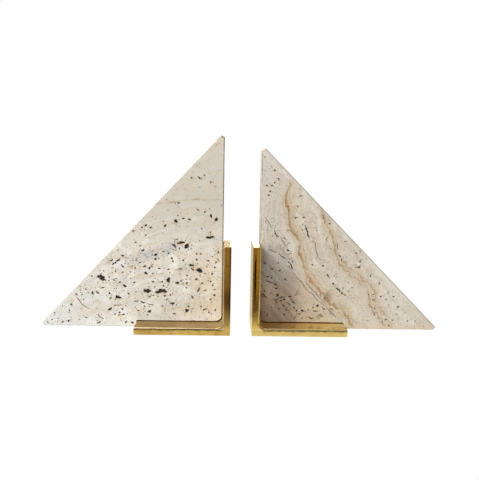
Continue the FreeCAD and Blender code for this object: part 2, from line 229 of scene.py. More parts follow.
class Solid:
    """Vertices, faces and point attributes of a mesh being built."""

    def __init__(self, slab):
        self.slab, self.points, self.faces, self.rounded = slab, [], [], []
        self.pore, self.stain, self.tone = [], [], []

    def point(self, s, y, h, pore=0.0, stain=0.0, tone=0.5):
        self.points.append(self.slab.place(s, y, h))
        self.pore.append(pore)
        self.stain.append(stain)
        self.tone.append(tone)
        return len(self.points) - 1

    def face(self, corners, rounded=False):
        corners = list(dict.fromkeys(corners))
        if len(corners) > 2:
            self.faces.append(corners)
            self.rounded.append(rounded)

    def mesh(self, name):
        faces = self.faces if self.slab.sign > 0 else [f[::-1] for f in self.faces]
        mesh = bpy.data.meshes.new(name)
        mesh.from_pydata(self.points, [], faces)
        mesh.polygons.foreach_set("use_smooth", self.rounded)
        for label, values in (("pore", self.pore), ("stain", self.stain), ("tone", self.tone)):
            mesh.attributes.new(label, "FLOAT", "POINT").data.foreach_set("value", values)
        mesh.update()
        return mesh


class Room:
    """Keeps the pores of one panel apart and inside it."""

    CELL = 6.0

    def __init__(self, boundary):
        self.boundary, self.cells = boundary, {}

    def distance(self, p):
        """Distance from p to the boundary, negative outside."""
        inside, nearest = False, 1e9
        for a, b in zip(self.boundary, self.boundary[1:] + self.boundary[:1]):
            ab = b - a
            t = min(1, max(0, (p - a).dot(ab) / ab.length_squared))
            nearest = min(nearest, (a + ab * t - p).length)
            if (a.y > p.y) != (b.y > p.y) and p.x < a.x + ab.x * (p.y - a.y) / ab.y:
                inside = not inside
        return nearest if inside else -nearest

    def near(self, p):
        column, row = int(p.x // self.CELL), int(p.y // self.CELL)
        for i in (-1, 0, 1):
            for j in (-1, 0, 1):
                yield from self.cells.get((column + i, row + j), ())

    def fits(self, circles, margin):
        return all(self.distance(p) > r + margin
                   and all((p - q).length > r + t + 0.15 for q, t in self.near(p))
                   for p, r in circles)

    def take(self, circles):
        for p, r in circles:
            self.cells.setdefault((int(p.x // self.CELL), int(p.y // self.CELL)), []).append((p, r))

    def place(self, pore, margin, pores):
        """Adds the pore to pores if it keeps the margin, and says whether it did."""
        if not self.fits(pore.circles, margin):
            return False
        self.take(pore.circles)
        pores.append(pore)
        return True


class Pore:
    """An open hole: its rim in panel coordinates, and the point that each rim point shrinks towards."""

    def __init__(self, chance, depth, tone, ring):
        self.chance, self.depth, self.tone, self.ring = chance, depth, tone, ring
        self.rim, self.anchors, self.circles = [], [], []

    @classmethod
    def blob(cls, chance, centre, length, width, tilt):
        """A ragged hole, slightly bent if it is long."""
        tone = chance.random() ** 2 * (0.4 if length > 3 else 1)
        pore = cls(chance, min(0.75 * width + 0.3, 3.2), tone, length > 1.7)
        a, b = length / 2, width / 2
        turn = Matrix.Rotation(math.radians(tilt), 2)
        count = max(5, min(40, math.ceil(math.pi * (a + b) / 0.5)))
        if length < 1.3:
            count = 6
        rough = 0.12 if length < 1.5 else 0.36
        bend = chance.uniform(-0.6, 0.6) * min(a - b, 0.5)

        def spot(x, y):
            return centre + turn @ Vector((x, y + bend * (x / a) ** 2))

        waves = [(k, rough * chance.uniform(0.4, 1) / k ** 0.5, chance.uniform(0, 6.3))
                 for k in ((2, 3, 5, 8, 12) if length > 3 else (2, 3, 5, 8))]
        lean = spot(a * chance.uniform(-0.3, 0.3), b * chance.uniform(-0.3, 0.3))
        for i in range(count):
            angle = 2 * math.pi * i / count
            r = 1 + sum(size * math.cos(k * angle + phase) for k, size, phase in waves)
            r = max(0.45, r) * chance.uniform(0.88, 1.12)
            pore.rim.append(spot(a * r * math.cos(angle), b * r * math.sin(angle)))
            pore.anchors.append(lean)
        steps = max(1, round(a / b))
        for i in range(steps):
            offset = (a - b) * (2 * (i + 0.5) / steps - 1)
            pore.circles.append((spot(offset, 0), b + 0.1))
        pore.circles += [(p, 0.15) for p in pore.rim]
        pore.fan = True
        return pore

    @classmethod
    def crack(cls, chance, width, path):
        """A long narrow hole along a path."""
        wide = width > 1.1
        tone = chance.uniform(0.0, 0.4) if wide else chance.uniform(0.4, 1.0)
        step, wander, thin = (0.9, 0.3 * width, 0.3) if wide else (1.4, 0.25, 0.55)
        pore = cls(chance, 1.1 * width + 0.3, tone, False)
        line = resample([Vector(p) for p in path], step) + [Vector(path[-1])]
        left, right, middles = [], [], []
        for k in range(1, len(line) - 1):
            across = left_of(line[k + 1] - line[k - 1])
            taper = min(1, 0.45 + 2.2 * min(k, len(line) - 1 - k) / len(line))
            middle = line[k] + across * chance.uniform(-wander, wander)
            left.append(middle + across * width / 2 * taper * chance.uniform(thin, 1.35))
            right.append(middle - across * width / 2 * taper * chance.uniform(thin, 1.35))
            middles.append(middle)
        pore.rim = [line[0]] + right + [line[-1]] + left[::-1]
        pore.anchors = [middles[0]] + middles + [middles[-1]] + middles[::-1]
        pore.circles = [(p, width * 0.5 + 0.1) for p in middles] + [(p, 0.15) for p in pore.rim]
        pore.fan = False
        return pore

    def dig(self, solid, lift, rim):
        """Adds the walls and floor below the rim. lift turns (panel point, depth) into (s, y, h)."""
        above = rim
        # dark sets how far each step of the wall darkens in the material: painted shade, deepest at the
        # floor.
        steps = ((0.9, 0.4, 0.6), (0.66, 0.85, 0.95)) if len(rim) > 6 else ((0.8, 0.7, 0.9),)
        for shrink, deep, dark in steps:
            below = []
            for p, anchor in zip(self.rim, self.anchors):
                inner = anchor.lerp(p, shrink * self.chance.uniform(0.93, 1.04))
                spot = lift(inner, self.depth * deep * self.chance.uniform(0.85, 1.1))
                shade = dark * self.chance.uniform(0.7, 1.0)
                below.append(solid.point(*spot, pore=shade, stain=1.0, tone=self.tone))
            for i in range(len(rim)):
                j = (i + 1) % len(rim)
                solid.face([above[i], above[j], below[j], below[i]])
            above = below
        if self.fan:
            bottom = solid.point(*lift(self.anchors[0], self.depth), pore=1.0, stain=1.0, tone=self.tone)
            for i in range(len(above)):
                solid.face([above[i], above[(i + 1) % len(above)], bottom])
        else:
            last = len(above)
            for i in range(last // 2):
                solid.face([above[i], above[i + 1], above[(last - i - 1) % last], above[(last - i) % last]])


def fill(solid, boundary, lift, pores, chance, flip):
    """Fills one panel between its boundary, [(panel point, vertex)], and the rims of its pores."""
    points = [p for p, _ in boundary]
    owners = [v for _, v in boundary]
    edges = [list(range(len(points)))]
    for pore in pores:
        start = len(points)
        for p in pore.rim:
            points.append(p)
            owners.append(solid.point(*lift(p, 0.0), stain=1.0 if pore.ring else 0.3, tone=pore.tone))
        edges.append(list(range(start, len(points))))
        pore.vertices = owners[start:]
    taken = Room([p for p, _ in boundary])
    for pore in pores:
        taken.take(pore.circles)
    for pore in pores:
        reach = chance.uniform(0.35, 0.9) if pore.ring else 0.25
        for p, anchor in zip(pore.rim, pore.anchors):
            away = (p - anchor).normalized() * reach * chance.uniform(0.8, 1.3)
            spot = [(p + away, 0.05)]
            if taken.fits(spot, 0.3):
                taken.take(spot)
                points.append(p + away)
                owners.append(solid.point(*lift(p + away, 0.0), tone=pore.tone))
    _, _, triangles, from_points, _, from_faces = delaunay_2d_cdt(points, [], edges, 1, 1e-6, True)
    for triangle, sources in zip(triangles, from_faces):
        if sources == [0]:
            corners = [owners[from_points[i][0]] for i in triangle]
            solid.face(corners[::-1] if flip else corners)
    for pore in pores:
        rim = pore.vertices
        if flip:
            pore.rim, pore.anchors, rim = pore.rim[::-1], pore.anchors[::-1], rim[::-1]
            if not pore.fan:
                pore.rim, pore.anchors, rim = (x[-1:] + x[:-1] for x in (pore.rim, pore.anchors, rim))
        pore.dig(solid, lift, rim)


def scatter(chance, room, count, low, high, density, tilt, size=-0.02, largest=3.2, slim=(0.35, 0.75)):
    """Seeded pores, thicker where density(p) is high. size is the middle of log(length in mm)."""
    pores = []
    while count > 0:
        count -= 1
        p = Vector((chance.uniform(low.x, high.x), chance.uniform(low.y, high.y)))
        if chance.random() > density(p) or room.distance(p) < 0.8:
            continue
        length = min(largest, chance.lognormvariate(size, 0.4))
        width = max(0.45, length * chance.uniform(*slim))
        pore = Pore.blob(chance, p, max(length, width), width, tilt(p) + chance.gauss(0, 22))
        room.place(pore, 0.35, pores)
    return pores


def drawn(chance, room, holes, cracks, scale):
    """The pores and cracks listed for a stone's front, then small ones crowding round each."""
    pores = []
    for width, path in cracks:
        for _ in range(8):
            pore = Pore.crack(chance, width, path)
            if not crosses_itself(pore.rim) and room.place(pore, 0.2, pores):
                break
    for s, h, length, width, tilt in holes:
        for shrink in (scale, 0.85 * scale, 0.7 * scale):
            pore = Pore.blob(chance, Vector((s, h)), length * shrink, width * shrink, tilt)
            if room.place(pore, 0.2, pores):
                break
    for s, h, length, width, tilt in holes:
        turn = Matrix.Rotation(math.radians(tilt), 2)
        for _ in range(int(2.4 * length)):
            size = chance.uniform(0.6, 1.1 + 0.12 * length)
            away = Vector((chance.gauss(0, 0.7 * length), chance.gauss(0, 0.6 * width + 0.8)))
            pore = Pore.blob(chance, Vector((s, h)) + turn @ away, size, size * chance.uniform(0.45, 0.9),
                             tilt + chance.gauss(0, 35))
            room.place(pore, 0.35, pores)
    return pores


def moved(shift, holes, cracks):
    """The listed pores and cracks, all moved by the shift."""
    ds, dh = shift
    holes = [(s + ds, h + dh, *shape) for s, h, *shape in holes]
    cracks = [(width, [(s + ds, h + dh) for s, h in path]) for width, path in cracks]
    return holes, cracks


def arris(ring, seed):
    """How deep the worn edge cuts at each outline point, in mm: uneven, with a few small chips."""
    worn, wavy, rough, deepest, chip_count = 0.5, 0.05, 0.01, 2.6, 6
    chance = random.Random(seed)
    chips = [(chance.choice(ring), chance.uniform(0.6, 1.5), chance.uniform(0.3, 0.9))
             for _ in range(chip_count)]
    depths = []
    for p in ring:
        depth = worn + wavy * wobble(p.x * 0.11, p.y * 0.11, seed) + rough * wobble(p.x, p.y, seed)
        for q, reach, size in chips:
            depth += size * math.exp(-((p - q).length / reach) ** 2) * chance.uniform(0.7, 1.2)
        depths.append(min(depth, deepest))
    return depths


def build_slab(side, holes, cracks, density, tilt, seed):
    """The stone as one watertight mesh: two faces, eight edge panels, worn arrises, open pores."""
    slab, chance = Slab(side), random.Random(seed)
    solid = Solid(slab)
    ring, starts, rim_step, wall_rows = [], [], 1.5, 9
    for line in slab.sides:
        starts.append(len(ring))
        ring += resample(line, rim_step)
    count = len(ring)
    inward = []
    for i, p in enumerate(ring):
        a = left_of(p - ring[i - 1])
        b = left_of(ring[(i + 1) % count] - p)
        inward.append((a + b) / (1 + a.dot(b)))

    def band(y_face, toward, cut_face, cut_edge):
        """Three rings of vertices along an arris: on the face, on the rounding, on the edge."""
        rings = [[], [], []]
        for p, n, c, d in zip(ring, inward, cut_face, cut_edge):
            for k, (share_in, share_y) in enumerate(((1, 0), (0.29, 0.29), (0, 1))):
                q, stain = p + n * c * share_in, (0, 1, 0.5)[k]
                rings[k].append(solid.point(q.x, y_face + toward * d * share_y, q.y, stain=stain, tone=0.0))
        return rings

    t = slab.thickness
    front_cuts = arris(ring, seed), arris(ring, seed + 1)
    back_cuts = arris(ring, seed + 2), arris(ring, seed + 3)
    front = band(0, 1, *front_cuts)
    back = band(t, -1, *back_cuts)
    for rings, flip in ((front, False), (back, True)):
        for outer, inner in ((rings[0], rings[1]), (rings[1], rings[2])):
            for i in range(count):
                j = (i + 1) % count
                quad = [outer[i], inner[i], inner[j], outer[j]]
                solid.face(quad[::-1] if flip else quad, rounded=True)

    for rings, cuts, y, toward, flip in ((front, front_cuts, 0, 1, False), (back, back_cuts, t, -1, True)):
        border = [p + n * c for p, n, c in zip(ring, inward, cuts[0])]
        room = Room([line[0] for line in slab.sides])
        room.take([(p, 0.7) for p in border])
        room.take([(a.lerp(b, 0.5), 0.7) for a, b in zip(border, border[1:] + border[:1])])
        pores = drawn(chance, room, holes, cracks, 1.1 if side == "left" else 1.0) if y == 0 else []
        low, high, top = Vector((0, 0)), Vector((slab.length, slab.height)), Vector((slab.length, LARGE_TOP))
        pores += scatter(chance, room, LARGE_TRIES, low, top, density, tilt, 0.75, 4.5)
        if side == "right":
            pores += scatter(chance, room, DASH_TRIES, low, high, density, tilt, 1.0, 5.0, (0.12, 0.22))
        pores += scatter(chance, room, FINE_TRIES, low, high, density, tilt)
        fill(solid, list(zip(border, rings[0])),
             lambda p, depth, y=y, toward=toward: (p.x, y + toward * depth, p.y), pores, chance, flip)

    walls = {}
    for k, line in enumerate(slab.sides):
        for end in (k, (k + 1) % len(slab.sides)):
            if end not in walls:
                i = starts[end]
                y0, y1 = front_cuts[1][i], t - back_cuts[1][i]
                ys = [y0 + (y1 - y0) * m / wall_rows for m in range(1, wall_rows)]
                walls[end] = [(y, solid.point(ring[i].x, y, ring[i].y)) for y in ys]
        edge_panel(solid, slab, k, ring, starts, (front, front_cuts), (back, back_cuts), walls, chance)
    return solid.mesh(side + "_stone")


def edge_panel(solid, slab, k, ring, starts, front, back, walls, chance):
    """The narrow panel along side k of the outline, between the two worn arrises."""
    first = starts[k]
    last = starts[k + 1] if k + 1 < len(starts) else len(ring)
    index = list(range(first, last)) + [last % len(ring)]
    along = [0.0]
    for i, j in zip(index, index[1:]):
        along.append(along[-1] + (ring[j] - ring[i]).length)
    t = slab.thickness
    near = [(Vector((a, front[1][1][i])), front[0][2][i]) for a, i in zip(along, index)]
    far = [(Vector((a, t - back[1][1][i])), back[0][2][i]) for a, i in zip(along, index)]
    start = [(Vector((0, y)), v) for y, v in walls[k]]
    end = [(Vector((along[-1], y)), v) for y, v in walls[(k + 1) % len(slab.sides)]]
    border = near + end + far[::-1] + start[::-1]
    a, b = ring[index[0]], ring[index[-1]]
    direction = (b - a).normalized()
    inner = left_of(direction)

    def lift(p, depth):
        q = a + direction * p.x + inner * depth
        return q.x, p.y, q.y

    pores, length = [], along[-1]
    if length > 40:  # the short sides stay whole
        room = Room([Vector(p) for p in ((0, 2), (length, 2), (length, t - 2), (0, t - 2))])
        pores = scatter(chance, room, int(length * 2.2), Vector((4, 2.5)), Vector((length - 4, t - 2.5)),
                        lambda p: 0.45, lambda p: 10 * math.sin(p.x * 0.1))
    fill(solid, border, lift, pores, chance, True)


def left_density(p):
    """Pores crowd the lower part and the grey band, and are few in the pale top."""
    low = 0.17 if p.y < 90 else 0.045
    band = 0.3 * math.exp(-((p.y + 0.38 * p.x - 104.5) / 6) ** 2) * (45 < p.x < 110)
    return max(0.01, low + band + 2.6 * low * wobble(p.x * 0.09, p.y * 0.13, 3.0))


def right_density(p):
    """Pores follow the beds, which run nearly along the sloping edge."""
    bed = (p.x + p.y) / math.sqrt(2)
    return 0.03 + 0.2 * max(0, wobble(bed * 0.11, (p.x - p.y) * 0.012, 8.0)) + 0.1 * (p.x + p.y < 70)


# ---------------------------------------------------------------- materials

class Graph:
    """Short forms for building a material's nodes."""

    def __init__(self, name):
        self.material = bpy.data.materials.new(name)
        self.material.use_nodes = True
        self.tree = self.material.node_tree
        self.tree.nodes.clear()
        self.output = self.tree.nodes.new("ShaderNodeOutputMaterial")
        self.shader = self.tree.nodes.new("ShaderNodeBsdfPrincipled")
        self.tree.links.new(self.shader.outputs[0], self.output.inputs[0])

    def feed(self, socket, value):
        if isinstance(value, bpy.types.NodeSocket):
            self.tree.links.new(value, socket)
        else:
            socket.default_value = value

    def node(self, kind, values=None, out=0, **settings):
        node = self.tree.nodes.new(kind)
        for key, value in settings.items():
            setattr(node, key, value)
        for key, value in (values or {}).items():
            self.feed(node.inputs[key], value)
        return node.outputs[out]

    def math(self, operation, a, b=0.0, clamp=False):
        return self.node("ShaderNodeMath", {0: a, 1: b}, operation=operation, use_clamp=clamp)

    def add(self, a, b):
        return self.math("ADD", a, b)

    def times(self, a, b, clamp=False):
        return self.math("MULTIPLY", a, b, clamp)

    def ramp(self, value, low, high, to_low=0.0, to_high=1.0):
        """A smooth step from to_low to to_high as value goes from low to high."""
        return self.node("ShaderNodeMapRange", {"Value": value, "From Min": low, "From Max": high,
                                                "To Min": to_low, "To Max": to_high},
                         interpolation_type="SMOOTHSTEP")

    def ramps(self, *steps):
        """The product of several ramps, each given as ramp's arguments."""
        result = self.ramp(*steps[0])
        for step in steps[1:]:
            result = self.times(result, self.ramp(*step))
        return result

    def noise(self, vector, scale, detail=3.0, roughness=0.55, distortion=0.0):
        return self.node("ShaderNodeTexNoise", {"Vector": vector, "Scale": scale, "Detail": detail,
                                                "Roughness": roughness, "Distortion": distortion})

    def stretched(self, x, y, z, detail, roughness=0.55, distortion=0.0):
        """Noise over three values, each given as (value, scale)."""
        spot = self.vector(self.times(*x), self.times(*y), self.times(*z))
        return self.noise(spot, 1.0, detail, roughness, distortion)

    def minus(self, a, b):
        return self.math("SUBTRACT", a, b)

    def apart(self, a, b):
        """How far a is from b, on either side."""
        return self.math("ABSOLUTE", self.minus(a, b))

    def larger(self, a, b):
        return self.math("MAXIMUM", a, b)

    def swing(self, noise, size):
        """The noise centred on 0 and scaled by size."""
        return self.times(self.minus(noise, 0.5), size)

    def mix(self, share, a, b):
        return self.node("ShaderNodeMix", {0: share, 6: a, 7: b}, out=2, data_type="RGBA")

    def layers(self, color, *coats):
        """The colour under coats of (share, display colour), one over another."""
        for share, tint in coats:
            color = self.mix(share, color, srgb(*tint))
        return color

    def vector(self, x, y, z):
        return self.node("ShaderNodeCombineXYZ", {0: x, 1: y, 2: z})

    def attribute(self, name):
        return self.node("ShaderNodeAttribute", out=2, attribute_name=name)

    def position(self):
        """Position in the row frame's mm, and its three parts."""
        spot = self.node("ShaderNodeTexCoord", out=3)
        spot = self.node("ShaderNodeVectorMath", {0: spot, 1: (1000, 1000, 1000)}, operation="MULTIPLY")
        parts = self.tree.nodes.new("ShaderNodeSeparateXYZ")
        self.tree.links.new(spot, parts.inputs[0])
        return spot, parts.outputs[0], parts.outputs[1], parts.outputs[2]

    def bump(self, height, strength, distance, under=None):
        values = {"Height": height, "Strength": strength, "Distance": distance}
        if under is not None:
            values["Normal"] = under
        return self.node("ShaderNodeBump", values)

    def finish(self, color, roughness, normal, **constants):
        self.feed(self.shader.inputs["Base Color"], color)
        self.feed(self.shader.inputs["Roughness"], roughness)
        self.feed(self.shader.inputs["Normal"], normal)
        for key, value in constants.items():
            self.shader.inputs[key.replace("_", " ")].default_value = value
        return self.material


def path_curve(graph, value, path, low, high, floor, ceiling):
    """The path's height at value: a float curve from low..high to floor..ceiling."""
    node = graph.tree.nodes.new("ShaderNodeFloatCurve")
    curve = node.mapping.curves[0]
    spots = [((a - low) / (high - low), (b - floor) / (ceiling - floor)) for a, b in path]
    spots = [(0.0, spots[0][1])] + spots + [(1.0, spots[-1][1])]
    curve.points[0].location, curve.points[1].location = spots[0], spots[-1]
    for spot in spots[1:-1]:
        curve.points.new(*spot)
    for point in curve.points:
        point.handle_type = "AUTO"
    node.mapping.update()
    scaled = graph.math("DIVIDE", graph.minus(value, low), high - low, True)
    graph.tree.links.new(scaled, node.inputs["Value"])
    return graph.add(graph.times(node.outputs[0], ceiling - floor), floor)


def profile(graph, offset, reach, stops):
    """A drawn strength across a band, from -reach to reach."""
    node = graph.tree.nodes.new("ShaderNodeValToRGB")
    ramp = node.color_ramp
    ramp.interpolation = "EASE"
    while len(ramp.elements) < len(stops):
        ramp.elements.new(0.5)
    for element, (place, strength) in zip(ramp.elements, stops):
        element.position = place
        element.color = (strength, strength, strength, 1)
    graph.tree.links.new(graph.add(graph.math("DIVIDE", offset, 2 * reach), 0.5), node.inputs[0])
    return node.outputs[0]


def open_pores(graph, spot, color, stains, insides):
    """Darkens the inside of each pore with painted shade, near black and grey, rust-brown in some; stains
    the stone round the larger ones, and darkens it along worn edges.
    """
    pore, stain, tone = (graph.attribute(name) for name in ("pore", "stain", "tone"))
    dark, grey, rust = insides
    bits = graph.ramp(graph.noise(spot, 0.9, 3.0), 0.42, 0.62)
    inside = graph.mix(bits, dark, grey)
    inside = graph.mix(graph.ramp(tone, 0.35, 0.6), inside, rust)
    halo = graph.mix(graph.ramp(tone, 0.1, 0.4), *stains)
    color = graph.mix(graph.times(graph.ramp(stain, 0.1, 1.0), 0.7), color, halo)
    return graph.mix(graph.ramp(pore, 0.0, 0.6), color, inside)


def stone_surface(graph, spot, color):
    """Honed stone: fine grain, hairline pits, uneven sheen."""
    grain = graph.noise(spot, 0.9, 5.0, 0.65)
    pits = graph.node("ShaderNodeTexVoronoi", {"Vector": spot, "Scale": 0.62, "Randomness": 1.0},
                      feature="F1")
    pits = graph.ramp(pits, 0.12, 0.3)
    broad = graph.noise(spot, 0.06, 2.0)
    normal = graph.bump(grain, 0.25, 0.0002)
    normal = graph.bump(pits, 0.2, 0.00025, normal)
    roughness = graph.add(graph.ramp(broad, 0.3, 0.7, 0.5, 0.62), graph.times(grain, 0.12))
    return graph.finish(color, roughness, normal, Specular_IOR_Level=0.35)


def specks(graph, spot, scale, size, amount):
    """Scattered dots: 1 inside a dot, where the amount mask lets them through."""
    cells = graph.tree.nodes.new("ShaderNodeTexVoronoi")
    graph.feed(cells.inputs["Vector"], spot)
    cells.inputs["Scale"].default_value = scale
    chosen = graph.node("ShaderNodeSeparateColor", {0: cells.outputs["Color"]})
    dot = graph.ramp(cells.outputs["Distance"], size, size * 0.45)
    return graph.times(dot, graph.math("LESS_THAN", chosen, amount))


def all_specks(graph, spot, color, amount, large, small):
    """The colour with two sizes of specks, in two display colours."""
    return graph.layers(color, (graph.times(specks(graph, spot, 0.42, 0.3, amount), 0.6), large),
                        (graph.times(specks(graph, spot, 0.8, 0.4, amount), 0.5), small))


def by_front(graph, y, slab):
    """1 on the front and its arris, fading to 0 just behind them."""
    front = slab.front / MM
    return graph.ramp(y, front + 2.0, front + 0.8)


def slab_position(graph, slab):
    """The shaded point as a vector in mm, and its s, y and h on the stone."""
    spot, x, y, z = graph.position()
    s = graph.minus(graph.times(x, slab.sign), slab.face / MM)
    h = graph.minus(z, slab.base / MM)
    return spot, s, y, h


def left_travertine():
    """Cream stone: flat wavy beds, a thin brown line, a grey speckled band; a painted warm glow from the
    brass towards the bracket, and painted light reflected up from the ledge just above it.
    """
    g, slab = Graph("left_travertine"), Slab("left")
    spot, s, y, h = slab_position(g, slab)
    drift = g.swing(g.noise(spot, 0.022, 3.0), 26.0)
    bed = g.add(g.add(h, g.times(s, 0.3)), drift)
    strata = g.stretched((bed, 0.16), (s, 0.012), (y, 0.02), 4.0, 0.6)
    fine = g.stretched((bed, 0.55), (s, 0.05), (y, 0.06), 3.0, 0.6)
    cloud = g.noise(spot, 0.06, 5.0, 0.62)
    patch = g.noise(g.vector(g.add(s, 40), g.add(bed, 90), y), 0.05, 5.0, 0.62, 0.6)
    mottle = g.noise(spot, 0.5, 4.0, 0.7)

    color = g.mix(g.ramp(h, 85, 125), srgb(228, 221, 210), srgb(212, 205, 192))
    # Warmer near the bracket's upright: painted glow of light reflected off the brass.
    painted_brass_glow = g.ramps((s, 62, 8), (h, 95, 55))
    color = g.mix(g.times(painted_brass_glow, 0.75), color, srgb(232, 216, 190))
    pale = g.ramps((s, 70, 125), (h, 75, 35))
    color = g.layers(color, (pale, (234, 233, 226)),
                     (g.ramp(strata, 0.52, 0.66, 0.0, 0.6), (216, 202, 180)))
    lower = g.ramp(h, 125, 92, 0.25, 1.0)
    color = g.layers(color, (g.times(g.ramp(strata, 0.46, 0.32, 0.0, 0.85), lower), (240, 238, 232)),
                     (g.ramp(fine, 0.5, 0.7, 0.0, 0.4), (204, 190, 168)),
                     (g.ramps((cloud, 0.5, 0.66, 0.0, 0.8), (h, 110, 80)), (244, 243, 238)),
                     (g.ramp(patch, 0.53, 0.7, 0.0, 0.6), (228, 208, 180)),
                     (g.ramp(patch, 0.45, 0.3, 0.0, 0.6), (208, 209, 206)),
                     (g.ramp(mottle, 0.4, 0.7, 0.0, 0.25), (196, 182, 160)))

    grey = g.apart(g.add(g.add(h, g.times(s, 0.38)), g.times(drift, 0.2)), 105)
    grey = g.times(g.ramp(grey, 9.0, 2.5), g.ramps((s, 38, 55), (s, 118, 98)))
    grey = g.times(grey, g.ramp(g.noise(spot, 0.09, 4.0, 0.6), 0.3, 0.62, 0.1, 1.0))
    color = g.mix(g.times(grey, 0.75), color, srgb(196, 198, 195))
    low_grey = g.times(g.ramp(g.apart(h, 11), 6.0, 1.5), g.ramps((s, 40, 50), (s, 100, 88)))
    # The first coat, paler from 9 to 20 mm up along the ledge, is painted light reflected up from the brass
    # ledge.
    color = g.layers(color, (g.ramps((h, 20, 9), (s, 125, 95, 0.1, 0.8)), (244, 240, 230)),
                     (g.times(low_grey, 0.45), (213, 213, 210)))

    line_path = [(0, 135.5), (28, 134.5), (52, 132), (70, 129.5)]
    line = path_curve(g, s, line_path, 0, 100, 100, 150)
    quiver = g.swing(g.noise(spot, 0.2, 4.0, 0.6), 5.0)
    off = g.apart(h, g.add(line, g.add(quiver, g.times(drift, 0.06))))
    thin = g.ramps((off, 1.7, 0.1), (g.noise(spot, 0.12, 3.0), 0.38, 0.6, 0.2, 0.8))
    color = g.mix(thin, color, srgb(174, 155, 132))

    rust_path = [(126, 6), (134, 14.5), (139, 18), (146, 22.5), (150, 27), (155, 34)]
    rust = path_curve(g, s, rust_path, 100, 180, 0, 60)
    rust = g.ramp(g.apart(h, g.add(rust, g.times(quiver, 0.15))), 1.1, 0.2)
    rust = g.times(rust, g.ramps((s, 125, 128), (s, 156, 153)))
    color = g.layers(color, (g.times(rust, 0.6), (222, 188, 152)),
                     (g.ramp(s, 115, 160, 0.0, 0.4), (222, 224, 219)))

    crowd = g.noise(spot, 0.07, 3.0)
    low = g.ramp(h, 130, 85, 0.35, 1.0)
    amount = g.add(g.times(grey, 0.5), g.times(low, g.ramp(crowd, 0.42, 0.68, 0.05, 0.4)))
    color = all_specks(g, spot, color, amount, (128, 114, 96), (150, 122, 92))

    run, rise = slab.length - slab.APEX_RUN, slab.height - slab.TIP_RISE
    slope = math.hypot(run, rise)
    across = g.add(g.times(s, rise / slope), g.times(h, run / slope))
    crest = (slab.APEX_RUN * rise + slab.height * run) / slope
    by_face = by_front(g, y, slab)
    tan = g.times(g.ramp(across, crest - 1.1, crest - 0.3), g.times(by_face, 0.6))
    # Darker along the upright edge's front arris: painted shade; and a dark spot of grime at the apex.
    apex = g.ramps((h, slab.height - 3.5, slab.height - 1.5), (s, 3.6, 2.4))
    edge_shade_and_grime = g.larger(g.times(g.ramp(s, 1.5, 0.5), by_face), apex)
    color = g.layers(color, (tan, (206, 188, 156)), (g.times(edge_shade_and_grime, 0.85), (98, 80, 62)))
    color = open_pores(g, spot, color, (srgb(176, 160, 136), srgb(196, 164, 124)),
                       (srgb(58, 54, 48), srgb(118, 112, 104), srgb(150, 100, 54)))
    return stone_surface(g, spot, color)


